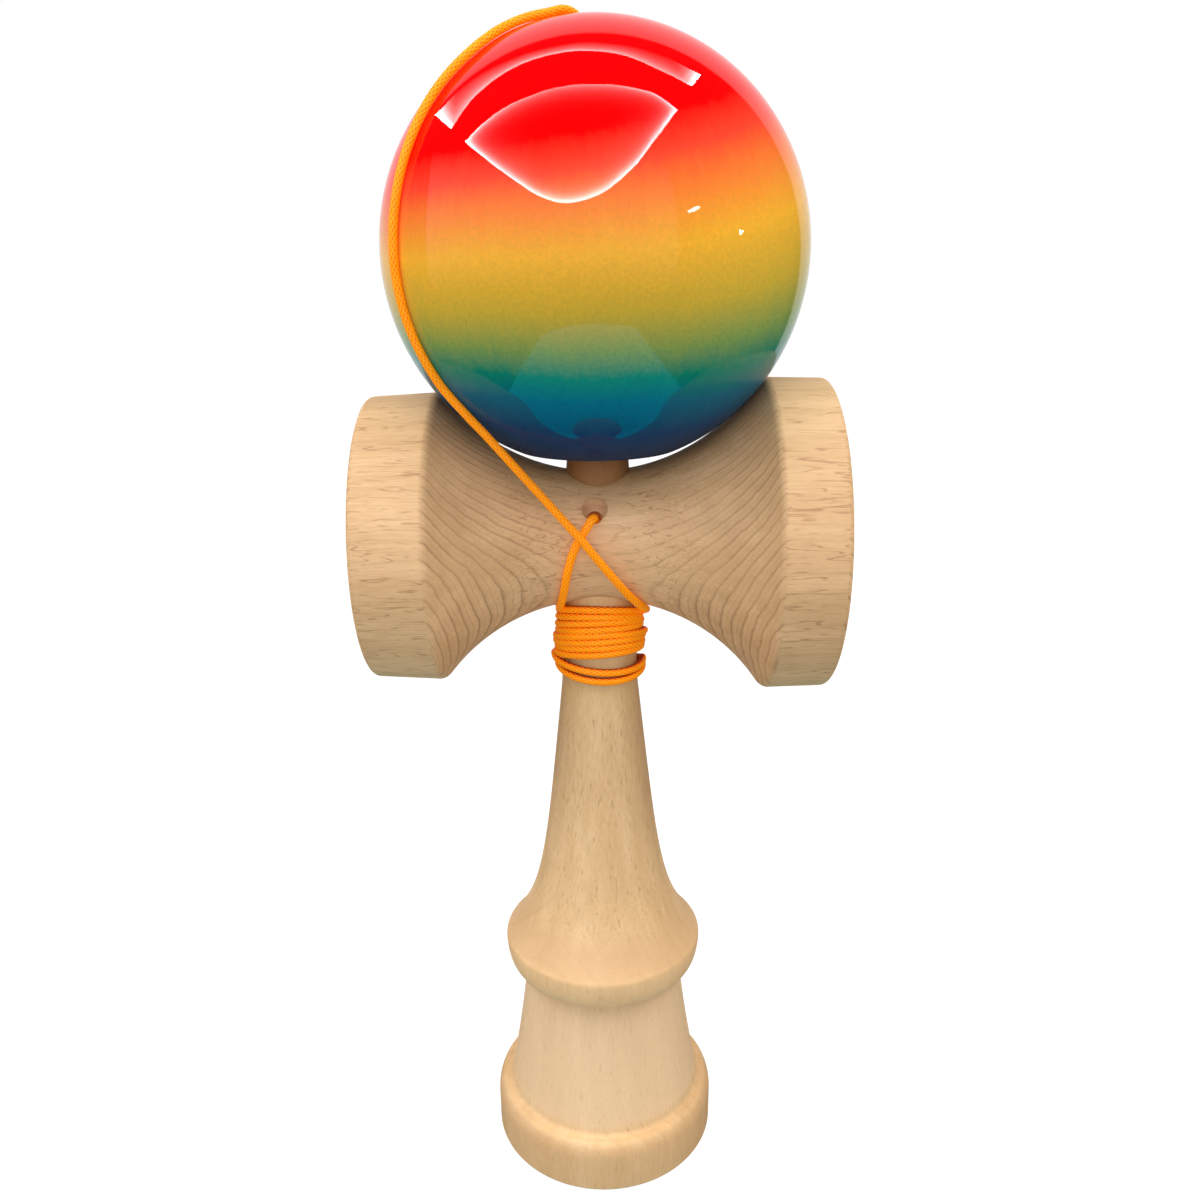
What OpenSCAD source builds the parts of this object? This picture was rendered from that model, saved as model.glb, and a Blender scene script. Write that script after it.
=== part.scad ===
// A kendama: a turned wooden handle with a spike, a crosspiece with two cups, a bored ball and one string.
// The handle stands on the rim of its base cup, its axis is Z, and the crosspiece lies along X.
// The ball sits on the spike, and the slack string is wound round the handle's neck.

/* [Ball] */
// Diameter of the ball
ball_d = 61; // [57:0.5:66]
// Diameter of the spike hole at its mouth
spike_hole_d = 23; // [19:0.5:26]
// Diameter of the spike hole at its inner end
spike_hole_end_d = 15; // [12:0.5:17]
// Width of the bevel at the spike hole's mouth
spike_hole_bevel = 0.8; // [0.4:0.1:1.5]
// Diameter of the string hole through the ball's top
ball_string_hole_d = 3; // [2:0.1:4]
// Diameter of the countersink over that string hole
ball_sink_d = 7; // [5:0.5:9]

/* [Crosspiece] */
// Length of the crosspiece from rim to rim
cross_l = 69; // [64:0.5:78]
// Height of the crosspiece's axis above the base
cross_z = 110.5; // [108:0.5:114]
// Outer diameter of the big cup at its inner edge
big_cup_d = 47.8; // [44:0.1:50]
// Amount by which the big cup's radius narrows towards its rim
big_cup_taper = 0.2; // [0:0.1:0.8]
// Depth of the big cup's hollow
big_cup_depth = 11; // [8:0.5:13]
// Outer diameter of the small cup at its inner edge
small_cup_d = 44.2; // [40:0.1:46]
// Amount by which the small cup's radius narrows towards its rim
small_cup_taper = 0.5; // [0:0.1:0.8]
// Depth of the small cup's hollow
small_cup_depth = 9.5; // [7:0.5:12]
// Width of the cups' rims
cup_rim_w = 3; // [2:0.1:4]
// Diameter of the waist at its middle
waist_d = 20; // [18:0.5:22]
// Radius of the hollow turned round the waist
waist_scoop_r = 29.5; // [28:0.5:33]
// Rounding of the rims and edges
cross_round = 0.8; // [0.4:0.1:1.2]
// Diameter of the string hole in the waist
cross_string_hole_d = 2.2; // [1.8:0.1:2.6]
// Angle of that string hole above the level, in degrees
cross_hole_angle = 30; // [20:1:45]
// Distance of that string hole from the handle's axis, along the crosspiece
cross_hole_x = -0.5; // [-1:0.1:1]
// Diameter of the dish over that string hole
cross_sink_d = 3.8; // [3:0.1:5]
// Depth of that dish
cross_sink_depth = 0.7; // [0.4:0.1:1]
// Angle of that dish above the level, in degrees
cross_sink_angle = 37; // [20:1:45]

/* [Handle] */
// Length of the handle from the base to the spike's tip
handle_l = 160.5; // [156:0.5:164]
// Diameter of the base ring
base_d = 38.6; // [36:0.1:42]
// Height of the base ring
base_h = 9.3; // [7:0.1:11]
// Height of the rounding of the base ring's upper edge, which runs in to the lower cone's foot
base_round = 3; // [1:0.1:4]
// Rounding of the base ring's lower edge
base_edge_round = 0.6; // [0.2:0.1:1]
// Diameter of the base cup at its rim
base_cup_d = 32.6; // [28:0.1:34]
// Depth of the base cup
base_cup_depth = 9; // [6:0.5:12]
// Bevel at the inner edge of the base cup's rim
base_cup_bevel = 0.5; // [0.2:0.1:1]
// Diameter of the lower cone at its foot
cone_foot_d = 33.8; // [31:0.1:35]
// Diameter of the lower cone under the ridge
cone_top_d = 26.4; // [23:0.1:28]
// Depth by which the lower cone's side is hollowed
cone_hollow = 0.3; // [0:0.1:0.8]
// Fillet at both ends of the lower cone
cone_fillet = 0.9; // [0.3:0.1:1.2]
// Diameter of the ridge
ridge_d = 33.6; // [31:0.1:36]
// Height of the ridge's underside above the base
ridge_z = 34.5; // [33:0.1:38]
// Height of the ridge itself
ridge_h = 6; // [4:0.1:7]
// Rounding of the ridge's upper edge
ridge_round = 0.8; // [0.4:0.1:1.2]
// Width of the long rounding of the ridge's lower edge
ridge_low_w = 1.7; // [0.8:0.1:2.4]
// Height of the long rounding of the ridge's lower edge
ridge_low_h = 4.7; // [2:0.1:5.2]
// Diameter of the handle's straight taper where it reaches the ridge
handle_d = 22; // [20:0.1:24]
// Length over which the taper flares out into the ridge
flare_l = 6.6; // [4:0.1:8]
// Height at which the taper ends and the neck begins
neck_z = 86; // [80:0.5:88]
// Diameter of the neck at its lower end
neck_d = 12.3; // [11:0.1:13]
// Diameter of the shaft where it leaves the crosspiece
shaft_d = 9.7; // [9:0.1:10.6]
// Diameter of the spike's round tip
spike_tip_d = 4.6; // [3:0.1:6]

/* [Bead] */
// Diameter of the bead inside the ball
bead_d = 8; // [6:0.5:10]
// Height of the bead
bead_h = 4.8; // [4:0.1:6]
// Diameter of the hole through the bead
bead_hole_d = 2; // [1.6:0.1:2.6]
// Rounding of the bead's edges
bead_round = 1.2; // [0.5:0.1:1.8]
// Diameter of the end knot under the bead
knot_d = 3.8; // [3:0.1:5]
// Height of the end knot
knot_h = 2.6; // [2:0.1:3.5]

/* [String] */
// Diameter of the string
string_d = 1.2; // [1:0.05:1.25]
// Number of turns wound round the neck
winding_turns = 7; // [4:1:7]
// Height of one turn of the winding
winding_pitch = 1.68; // [1.66:0.02:1.72]
// Height by which each turn is raised at the front and lowered at the back
winding_tilt = 1.2; // [0:0.1:1.4]

/* [Hidden] */
// Overrun of every cut
over = 1;
// Gap between the shaft and its bore
shaft_fit = 0.05;
// Gap between the ball and the crosspiece that it rests on
seat_gap = 0.3;
// Gap between the string and what it lies on
string_gap = 0.15;
// Gap between the spike's tip and the end knot
tip_gap = 1;
// Gap between the bead and the end of the hole, and between the bead and its knot
bead_gap = 0.15;
// Gap between the lengths of string on either side of the lift
part_gap = 0.1;
// Curve points in each rounding, hollow and flare
round_steps = 6;
hollow_steps = 20;
// Fineness of the turned and drilled shapes
$fn = 96;

ball_r = ball_d / 2;
big_r = big_cup_d / 2;
small_r = small_cup_d / 2;
waist_r = waist_d / 2;
scoop_c = waist_r + waist_scoop_r;

// Distance from the handle's axis at which the waist's hollow reaches a radius
function scoop_x(r) = sqrt(waist_scoop_r * waist_scoop_r - (scoop_c - r) * (scoop_c - r));
// Height of the ball's middle over the crosspiece's axis when it rests on an edge of that radius
function seat_h(r) = r + sqrt(pow(ball_r + seat_gap, 2) - pow(scoop_x(r), 2));

ball_z = cross_z + max(seat_h(big_r), seat_h(small_r));
ball_top_z = ball_z + ball_r;
ball_low_z = ball_z - ball_r;
shaft_top_z = cross_z + waist_r;
ridge_top_z = ridge_z + ridge_h;
tip_z = handle_l - spike_tip_d / 2;

// The inner end of the ball: spike's tip, end knot, bead, end of the hole
knot_z = handle_l + tip_gap;
bead_z = knot_z + knot_h + bead_gap;
spike_hole_end_z = bead_z + bead_h + bead_gap;
spike_hole_depth = spike_hole_end_z - ball_low_z;
spike_hole_slope = (spike_hole_d - spike_hole_end_d) / 2 / spike_hole_depth;

// Radius of the neck and shaft at a height
function shaft_r(z) = (neck_d + (shaft_d - neck_d) * (z - neck_z) / (shaft_top_z - neck_z)) / 2;
// Radius of the handle's taper and flare at a height
flare_r = ridge_d / 2 - ridge_round - handle_d / 2;
function taper_r(z) = (neck_d + (handle_d - neck_d) * (neck_z - z) / (neck_z - ridge_top_z)) / 2
    + flare_r * exp((ridge_top_z - z) / flare_l);
// Radius of the lower cone at a share of its height
function cone_r(t) = (cone_foot_d + (cone_top_d - cone_foot_d) * t) / 2 - 4 * cone_hollow * t * (1 - t);
// Radius of the ball that a hollow of that rim radius and depth is turned to
function bowl_r(rim_r, depth) = (rim_r * rim_r + depth * depth) / (2 * depth);
// Points along an arc
function arc(x, y, r, from, to, steps) =
    [for (i = [0:steps]) let (a = from + (to - from) * i / steps) [x + r * cos(a), y + r * sin(a)]];
// Points along a smooth bend from a to c, drawn towards a corner b, after a itself
function bend(a, b, c, steps) =
    [for (i = [1:steps]) let (t = i / steps) a * (1 - t) * (1 - t) + b * 2 * t * (1 - t) + c * t * t];

// Half of the turned outline of a cup end, from the bottom of the hollow to the outer edge of its band
// The list holds distance from the axis and distance from the middle of the crosspiece.
function cup_outline(r, taper, depth) =
    let (end = cross_l / 2, end_r = r - taper, rim_r = end_r - cup_rim_w)
    let (bowl = bowl_r(rim_r, depth), c = end - depth + bowl)
    let (stop = asin((rim_r - cross_round) / bowl))
    concat(
        [for (i = [0:hollow_steps]) let (a = stop * i / hollow_steps) [bowl * sin(a), c - bowl * cos(a)]],
        [[rim_r + cross_round, end]],
        arc(end_r - cross_round, end - cross_round, cross_round, 90, 0, round_steps),
        [[r, scoop_x(r) + cross_round], [r - cross_round, scoop_x(r - cross_round)]]
    );
function reversed(points) = [for (i = [len(points) - 1:-1:0]) points[i]];
scoop_small = asin(scoop_x(small_r - cross_round) / waist_scoop_r);
scoop_big = asin(scoop_x(big_r - cross_round) / waist_scoop_r);
function waist_point(a) = [scoop_c - waist_scoop_r * cos(a), waist_scoop_r * sin(a)];
waist_outline = [for (i = [1:hollow_steps - 1])
    waist_point(-scoop_small + (scoop_big + scoop_small) * i / hollow_steps)];
cross_outline = concat(
    [for (p = cup_outline(small_r, small_cup_taper, small_cup_depth)) [p[0], -p[1]]],
    waist_outline,
    reversed(cup_outline(big_r, big_cup_taper, big_cup_depth))
);

// Turned outline of the handle, from the bottom of the base cup round to the spike's tip
base_r = base_d / 2;
ledge_w = base_r - cone_foot_d / 2 - cone_fillet;
base_bowl = bowl_r(base_cup_d / 2, base_cup_depth);
base_bowl_z = base_cup_depth - base_bowl;
base_bowl_stop = acos((base_cup_bevel - base_bowl_z) / base_bowl);
base_cup_outline = [for (i = [0:hollow_steps]) let (a = base_bowl_stop * i / hollow_steps)
    [base_bowl * sin(a), base_bowl_z + base_bowl * cos(a)]];
base_outline = concat(
    [[base_cup_d / 2 + base_cup_bevel, 0]],
    arc(base_r - base_edge_round, base_edge_round, base_edge_round, -90, 0, round_steps),
    [for (i = [0:round_steps]) let (a = 90 * i / round_steps)
        [base_r - ledge_w * (1 - cos(a)), base_h - base_round * (1 - sin(a))]]
);
function cone_point(t) = [cone_r(t), base_h + (ridge_z - base_h) * t];
cone_end = cone_fillet / (ridge_z - base_h);
cone_outline = concat(
    bend([cone_foot_d / 2 + cone_fillet, base_h], cone_point(0), cone_point(cone_end), round_steps),
    [for (i = [1:round_steps]) cone_point(cone_end + (1 - 2 * cone_end) * i / round_steps)],
    bend(cone_point(1 - cone_end), cone_point(1), [cone_top_d / 2 + cone_fillet, ridge_z], round_steps)
);
low_round_h = min(ridge_low_h, ridge_h - ridge_round);
ridge_outline = concat(
    [for (i = [0:round_steps]) let (a = 90 - 90 * i / round_steps)
        [ridge_d / 2 - ridge_low_w * (1 - cos(a)), ridge_z + low_round_h * (1 - sin(a))]],
    arc(ridge_d / 2 - ridge_round, ridge_top_z - ridge_round, ridge_round, 0, 90, round_steps)
);
taper_outline = [for (i = [1:hollow_steps]) let (t = i / hollow_steps)
    let (z = ridge_top_z + (neck_z - ridge_top_z) * t * t) [taper_r(z), z]];
spike_outline = concat(
    [[shaft_d / 2, shaft_top_z]],
    [for (i = [0:round_steps]) let (a = 90 * i / round_steps)
        [spike_tip_d / 2 * cos(a), tip_z + spike_tip_d / 2 * sin(a)]]
);
handle_outline = concat(
    base_cup_outline, base_outline, cone_outline, ridge_outline, taper_outline, spike_outline
);

// The string's ways, as points along its middle
function unit(v) = v / norm(v);
// Turns round the neck, clockwise seen from above, downwards from the left of the neck
winding_start_angle = 200;
winding_rings = 24;
winding_top_z = cross_z - waist_r - string_d - 3 * string_gap;
function winding_point(s) =
    let (a = winding_start_angle - 360 * s, level = winding_top_z - winding_pitch * s)
    let (r = shaft_r(level - winding_tilt) + string_gap + string_d / 2)
    [r * cos(a), r * sin(a), level - winding_tilt * sin(a)];
function winding_way(s) =
    unit(winding_point(s + 0.5 / winding_rings) - winding_point(s - 0.5 / winding_rings));
winding_loops = [for (i = [0:winding_turns * winding_rings]) winding_point(i / winding_rings)];
winding_first = winding_point(0) - winding_way(0) * string_d;
winding_last = winding_point(winding_turns) + winding_way(winding_turns) * string_d;
winding_points = concat([winding_first], winding_loops, [winding_last]);
// Least gap between turns, measured between the points of different turns
winding_gap = min([for (i = [0:len(winding_loops) - 1])
    for (j = [i + winding_rings / 2:1:len(winding_loops) - 1])
        norm(winding_loops[j] - winding_loops[i])]) - string_d;
echo("least gap between the turns of the string winding, in mm", winding_gap);

// The anchor loop lies round the shaft where the crosspiece's string hole reaches it
loop_z = cross_z + shaft_d / 2 * tan(cross_hole_angle);
loop_r = shaft_r(loop_z - string_d / 2) + string_gap + string_d / 2;
// Route out of the crosspiece and down to the left of the neck
lead_route = [
    [-0.5, -7.1, 114.5], [-0.55, -8.45, 115.35], [-0.85, -9.75, 115.6], [-1.4, -10.4, 114.85],
    [-2.1, -10.6, 113.6], [-2.9, -10.8, 112.4], [-3.7, -11, 110.7], [-4.3, -11, 108.8],
    [-4.8, -10.5, 106.6], [-5.2, -9.5, 104.4], [-5.5, -7.9, 102.5], [-5.4, -6.2, 101]
];
lead_points = concat(
    [[cross_hole_x, -loop_r, loop_z]], lead_route,
    [winding_first - winding_way(0) * string_d, winding_first]
);
// Route from the foot of the winding up behind the neck, over the waist's front and up to the ball's left
rise_route = [
    [-7.7, 0.9, 87.2], [-7.6, 3.9, 87.7], [-5.5, 6.7, 89], [-2.6, 8.1, 90.5], [0.6, 8.4, 92.1],
    [3.6, 7.4, 93.8], [6.1, 5.5, 95.4], [7.7, 2.8, 96.8], [8.2, -0.3, 98], [7.6, -3.5, 99.2],
    [6.3, -6.5, 100.8], [4.8, -8.9, 103], [3.1, -10.7, 105.5], [1.3, -11.8, 108], [-0.5, -12.3, 110.4],
    [-2.3, -12.5, 112.8], [-4.2, -12.8, 115.1], [-6.1, -13.1, 117.4], [-8, -13.4, 119.7],
    [-9.9, -13.7, 122], [-11.8, -14, 124.3], [-13.7, -14.3, 126.6], [-15.6, -14.6, 128.9],
    [-17.6, -15, 131.2]
];
// Way over the ball, up its left side to the string hole, by the angle from the handle's axis
// Each turn is an angle from the ball's left towards its front.
crown_r = ball_r + string_d / 2 + string_gap;
crown_low_angle = 123.5;
crown_high_angle = 12;
crown_side_turn = 33.5;
crown_front_turn = 3.3;
crown_back_turn = 6;
crown_bulge_turn = 3;
crown_bulge_angle = 34;
crown_bulge_width = 12;
crown_steps = 22;
function crown_turn(a) = a > 90
    ? crown_side_turn + crown_front_turn * pow((a - 90) / (crown_low_angle - 90), 2)
    : crown_side_turn - crown_back_turn * pow((90 - a) / (90 - crown_high_angle), 4)
        + crown_bulge_turn * exp(-pow((a - crown_bulge_angle) / crown_bulge_width, 2));
function crown_point(t) =
    let (a = crown_low_angle + (crown_high_angle - crown_low_angle) * t, turn = crown_turn(a))
    [-crown_r * sin(a) * cos(turn), -crown_r * sin(a) * sin(turn), ball_z + crown_r * cos(a)];
crown_way = unit(crown_point(0.5 / crown_steps) - crown_point(0));
// Route from the top of the ball into the string hole: distance from the axis, height over the ball's top
dive_route = [[4.6, 0.5], [3.3, 0.4], [2, -0.5], [0.8, -2], [0.2, -3.8], [0, -5]];
dive_turn = crown_turn(crown_high_angle);
dive_points = [for (p = dive_route)
    [-p[0] * cos(dive_turn), -p[0] * sin(dive_turn), ball_top_z + p[1]]];
knot_top_z = knot_z + knot_h;
tail_top_z = dive_points[len(dive_points) - 1][2];
tail_steps = 5;
tail_points = [for (i = [1:tail_steps]) [0, 0, tail_top_z + (knot_top_z - tail_top_z) * i / tail_steps]];
rise_end = crown_point(0) - crown_way * part_gap;
rise_points = concat(
    [winding_last, winding_last + winding_way(winding_turns) * string_d], rise_route,
    [rise_end - crown_way * string_d, rise_end]
);
crown_points = concat(
    [crown_point(0), crown_point(0) + crown_way * string_d],
    [for (i = [1:crown_steps]) crown_point(i / crown_steps)], dive_points, tail_points
);

// A closed tube of triangles swept along points, its rings carried on without twisting
function tube_way(p, i) = unit(p[min(i + 1, len(p) - 1)] - p[max(i - 1, 0)]);
function carried(u, way) = unit(u - way * (u * way));
function any_side(way) = abs(way[2]) < 0.9 ? [0, 0, 1] : [1, 0, 0];
function tube_rings(p, r, sides) = [
    for (i = 0, u = carried(any_side(tube_way(p, 0)), tube_way(p, 0)); i < len(p);
         i = i + 1, u = i < len(p) ? carried(u, tube_way(p, i)) : u)
        let (v = cross(tube_way(p, i), u))
        for (k = [0:sides - 1]) p[i] + r * (cos(360 * k / sides) * u + sin(360 * k / sides) * v)
];
function tube_faces(rings, sides) = concat(
    [for (i = [0:rings - 2]) for (k = [0:sides - 1])
        [i * sides + k, (i + 1) * sides + k, i * sides + (k + 1) % sides]],
    [for (i = [0:rings - 2]) for (k = [0:sides - 1])
        [(i + 1) * sides + k, (i + 1) * sides + (k + 1) % sides, i * sides + (k + 1) % sides]],
    [for (k = [1:sides - 2]) [0, k, k + 1]],
    [for (k = [1:sides - 2]) let (e = (rings - 1) * sides) [e, e + k + 1, e + k]]
);
module tube(points, sides) {
    polyhedron(tube_rings(points, string_d / 2, sides), tube_faces(len(points), sides), convexity = 10);
}
free_sides = 8;
wound_sides = 6;

// Handle: base cup, lower cone, ridge, tapered grip, neck, shaft and spike in one turned piece
module ken() {
    color("burlywood") rotate_extrude() polygon(handle_outline);
}

// Crosspiece: two cups back to back on a hollowed waist, bored for the shaft and drilled for the string
module sarado() {
    relief_r = loop_r + string_d / 2 + string_gap;
    relief_h = string_d + 2 * string_gap;
    bore_low_z = cross_z - waist_r - over;
    bore_high_z = cross_z + waist_r + over;
    dish_r = bowl_r(cross_sink_d / 2, cross_sink_depth);
    color("navajowhite") difference() {
        translate([0, 0, cross_z]) rotate([0, 90, 0]) rotate_extrude() polygon(cross_outline);
        translate([0, 0, bore_low_z]) cylinder(
            h = bore_high_z - bore_low_z,
            r1 = shaft_r(bore_low_z) + shaft_fit,
            r2 = shaft_r(bore_high_z) + shaft_fit
        );
        translate([0, 0, loop_z - relief_h / 2]) cylinder(h = relief_h, r = relief_r);
        translate([cross_hole_x, 0, cross_z]) {
            rotate([90 - cross_hole_angle, 0, 0]) cylinder(h = waist_r + over, d = cross_string_hole_d);
            rotate([90 - cross_sink_angle, 0, 0])
                translate([0, 0, waist_r + dish_r - cross_sink_depth]) sphere(r = dish_r, $fn = 48);
        }
    }
}

// Ball: bored from below for the spike and drilled through the top for the string
module tama() {
    mouth_r = spike_hole_d / 2;
    mouth_z = ball_z - sqrt(ball_r * ball_r - mouth_r * mouth_r);
    sink_z = ball_z + sqrt(ball_r * ball_r - ball_sink_d * ball_sink_d / 4);
    sink_depth = (ball_sink_d - ball_string_hole_d) / 2;
    color("orangered") difference() {
        translate([0, 0, ball_z]) sphere(d = ball_d);
        translate([0, 0, ball_low_z - over]) cylinder(
            h = spike_hole_depth + over,
            r1 = mouth_r + spike_hole_slope * over,
            r2 = spike_hole_end_d / 2
        );
        translate([0, 0, mouth_z - over]) cylinder(
            h = spike_hole_bevel + over,
            r1 = mouth_r + spike_hole_bevel + over,
            r2 = mouth_r
        );
        translate([0, 0, spike_hole_end_z - over]) cylinder(
            h = ball_top_z - spike_hole_end_z + 2 * over,
            d = ball_string_hole_d
        );
        translate([0, 0, sink_z - sink_depth]) cylinder(
            h = sink_depth + over,
            r1 = ball_string_hole_d / 2,
            r2 = ball_sink_d / 2 + over
        );
    }
}

// Bead: keeps the string's end knot from pulling through the ball
module tama_bead() {
    r = bead_d / 2;
    hole_r = bead_hole_d / 2;
    color("saddlebrown") translate([0, 0, bead_z]) rotate_extrude() polygon(concat(
        [[hole_r, 0]],
        arc(r - bead_round, bead_round, bead_round, -90, 0, round_steps),
        arc(r - bead_round, bead_h - bead_round, bead_round, 0, 90, round_steps),
        [[hole_r, bead_h]]
    ));
}

// Closed loop of the string round the shaft, held inside the crosspiece
module string_anchor_loop() {
    color("darkorange") translate([0, 0, loop_z]) rotate_extrude() translate([loop_r, 0]) circle(d = string_d);
}

// String from the anchor loop out of the crosspiece and down to the neck
module string_lead() {
    color("darkorange") tube(lead_points, free_sides);
}

// Turns of the slack string round the neck
module string_winding() {
    color("darkorange") tube(winding_points, wound_sides);
}

// String from the winding up behind the neck, over the waist and up to the ball
module string_rise() {
    color("darkorange") tube(rise_points, free_sides);
}

// String over the ball, down through its string hole and the bead
module string_crown() {
    color("darkorange") tube(crown_points, free_sides);
}

// Knot at the string's end, under the bead
module string_end_knot() {
    round_r = knot_h / 3;
    color("darkorange") translate([0, 0, knot_z]) rotate_extrude() polygon(concat(
        [[0, 0]],
        arc(knot_d / 2 - round_r, round_r, round_r, -90, 0, round_steps),
        arc(knot_d / 2 - round_r, knot_h - round_r, round_r, 0, 90, round_steps),
        [[0, knot_h]]
    ));
}

ken();
sarado();
tama();
tama_bead();
string_anchor_loop();
string_lead();
string_winding();
string_rise();
string_crown();
string_end_knot();
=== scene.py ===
import math

import bmesh
import bpy
import numpy as np
from mathutils import Matrix, Vector


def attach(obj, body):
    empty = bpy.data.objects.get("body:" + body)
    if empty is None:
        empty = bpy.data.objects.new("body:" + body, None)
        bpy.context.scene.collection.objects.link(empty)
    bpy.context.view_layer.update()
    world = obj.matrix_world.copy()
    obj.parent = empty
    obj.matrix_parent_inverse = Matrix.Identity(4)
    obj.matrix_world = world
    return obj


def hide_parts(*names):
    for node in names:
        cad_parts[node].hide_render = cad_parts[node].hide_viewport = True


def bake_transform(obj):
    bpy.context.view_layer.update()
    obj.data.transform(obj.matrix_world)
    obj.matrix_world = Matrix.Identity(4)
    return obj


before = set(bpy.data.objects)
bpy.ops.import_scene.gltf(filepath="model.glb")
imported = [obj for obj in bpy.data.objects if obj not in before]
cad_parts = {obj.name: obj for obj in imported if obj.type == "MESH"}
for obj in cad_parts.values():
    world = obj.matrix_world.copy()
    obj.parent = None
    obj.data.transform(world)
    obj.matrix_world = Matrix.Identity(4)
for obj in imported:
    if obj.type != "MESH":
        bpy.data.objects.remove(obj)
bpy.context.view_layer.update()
scene = bpy.context.scene
scene.view_settings.view_transform = "Standard"
scene.view_settings.look = "None"

MM = 0.001

# Sizes of the ball
BALL_R = 30.5
SPIKE_HOLE_R, SPIKE_HOLE_END_R, SPIKE_HOLE_BEVEL = 11.5, 7.5, 0.8
BALL_STRING_HOLE_R, BALL_SINK_R = 1.5, 3.5

# Sizes of the crosspiece
CROSS_HALF, CROSS_Z = 34.5, 110.5
BIG_R, BIG_TAPER, BIG_DEPTH = 23.9, 0.2, 11.0
SMALL_R, SMALL_TAPER, SMALL_DEPTH = 22.1, 0.5, 9.5
CUP_RIM, WAIST_R, SCOOP_R, CROSS_ROUND = 3.0, 10.0, 29.5, 0.8
CROSS_HOLE_X, CROSS_HOLE_ANGLE, CROSS_HOLE_R = -0.5, math.radians(30), 1.1
CROSS_SINK_ANGLE, CROSS_SINK_R, CROSS_SINK_DEPTH = math.radians(37), 1.9, 0.7
BORE_PAST, DRILL_START, DRILL_PAST = 1, 3, 2

# Sizes of the handle
HANDLE_L, BASE_R, BASE_H, BASE_ROUND, BASE_EDGE = 160.5, 19.3, 9.3, 3.0, 0.6
BASE_CUP_R, BASE_CUP_DEPTH, BASE_CUP_BEVEL = 16.3, 9.0, 0.5
CONE_FOOT_R, CONE_TOP_R, CONE_HOLLOW, CONE_FILLET = 16.9, 13.2, 0.3, 0.9
RIDGE_R, RIDGE_Z, RIDGE_H, RIDGE_ROUND = 16.8, 34.5, 6.0, 0.8
RIDGE_LOW_W, RIDGE_LOW_H, RIDGE_SOFT = 1.7, 4.7, 1.1
GRIP_R, FLARE_L, NECK_Z, NECK_R = 11.0, 6.6, 86.0, 6.15
SHAFT_R, TIP_R, SHAFT_FIT = 4.85, 2.3, 0.05

# Sizes of the bead, the end knot and the string. The string lies STRING_LIFT off the neck and the ball
BEAD_R, BEAD_H, BEAD_HOLE_R, BEAD_ROUND = 4.0, 4.8, 1.0, 1.2
KNOT_H, TIP_GAP, BEAD_GAP = 2.6, 1.0, 0.15
STRING_R, STRING_GAP, STRING_LIFT, SEAT_GAP = 0.6, 0.15, 0.03, 0.3
KNOT_SPREAD, KNOT_RISE, KNOT_TIE = 0.44, 0.66, 0.3

# The braid: strands each way, the length in which they cross, and their relief as shares of the radius
BRAID_STRANDS, BRAID_PITCH, BRAID_CORE, BRAID_RELIEF = 7, 0.95, 0.97, 0.035
STRING_STEP, STRING_SIDES, HIDDEN_SIDES, RING_STEPS = 0.14, 28, 20, 160

# Angles in degrees from which an edge of turned wood, or of the braid, is shown sharp
TURNED_EDGE, BRAID_EDGE = 35, 60

SCOOP_C = WAIST_R + SCOOP_R
SHAFT_TOP_Z = CROSS_Z + WAIST_R
RIDGE_TOP_Z = RIDGE_Z + RIDGE_H
KNOT_Z = HANDLE_L + TIP_GAP
BEAD_Z = KNOT_Z + KNOT_H + BEAD_GAP
SPIKE_HOLE_END_Z = BEAD_Z + BEAD_H + BEAD_GAP


def scoop_x(r):
    return math.sqrt(SCOOP_R**2 - (SCOOP_C - r) ** 2)


def seat_height(r):
    """Height of the ball's centre over the crosspiece's axis when it rests on a cup's inner edge."""
    return r + math.sqrt((BALL_R + SEAT_GAP) ** 2 - scoop_x(r) ** 2)


BALL_Z = CROSS_Z + max(seat_height(r) for r in (BIG_R, SMALL_R))
BALL_TOP_Z = BALL_Z + BALL_R


def shaft_r(z):
    return NECK_R + (SHAFT_R - NECK_R) * (z - NECK_Z) / (SHAFT_TOP_Z - NECK_Z)


def taper_r(z):
    flare = RIDGE_R - RIDGE_ROUND - GRIP_R
    straight = NECK_R + (GRIP_R - NECK_R) * (NECK_Z - z) / (NECK_Z - RIDGE_TOP_Z)
    return straight + flare * math.exp((RIDGE_TOP_Z - z) / FLARE_L)


def bowl_r(rim, depth):
    return (rim * rim + depth * depth) / (2 * depth)


def arc(x, y, r, start, stop, steps):
    turns = [math.radians(start + (stop - start) * i / steps) for i in range(steps + 1)]
    return [(x + r * math.cos(a), y + r * math.sin(a)) for a in turns]


def linear(r, g, b):
    """A colour given in 0 to 255 as a display shows it, as the renderer counts it."""
    out = []
    for c in (r / 255, g / 255, b / 255):
        out.append(c / 12.92 if c <= 0.04045 else ((c + 0.055) / 1.055) ** 2.4)
    return (*out, 1.0)


# Camera
CAMERA = Vector((0.14, -162.9, 152.82))
PICTURE, SENSOR = 1200, 36
FOCAL, PITCH, ROLL = 1077.16, math.radians(18.02), math.radians(0.62)
camera_data = bpy.data.cameras.new("camera")
camera_data.sensor_width = SENSOR
camera_data.lens = SENSOR * FOCAL / PICTURE
camera_data.clip_start = 0.005
camera = bpy.data.objects.new("camera", camera_data)
turn = Matrix.Rotation(math.pi / 2 - PITCH, 4, "X") @ Matrix.Rotation(-ROLL, 4, "Z")
camera.matrix_world = Matrix.Translation(CAMERA * MM) @ turn
scene.collection.objects.link(camera)
scene.camera = camera


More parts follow.
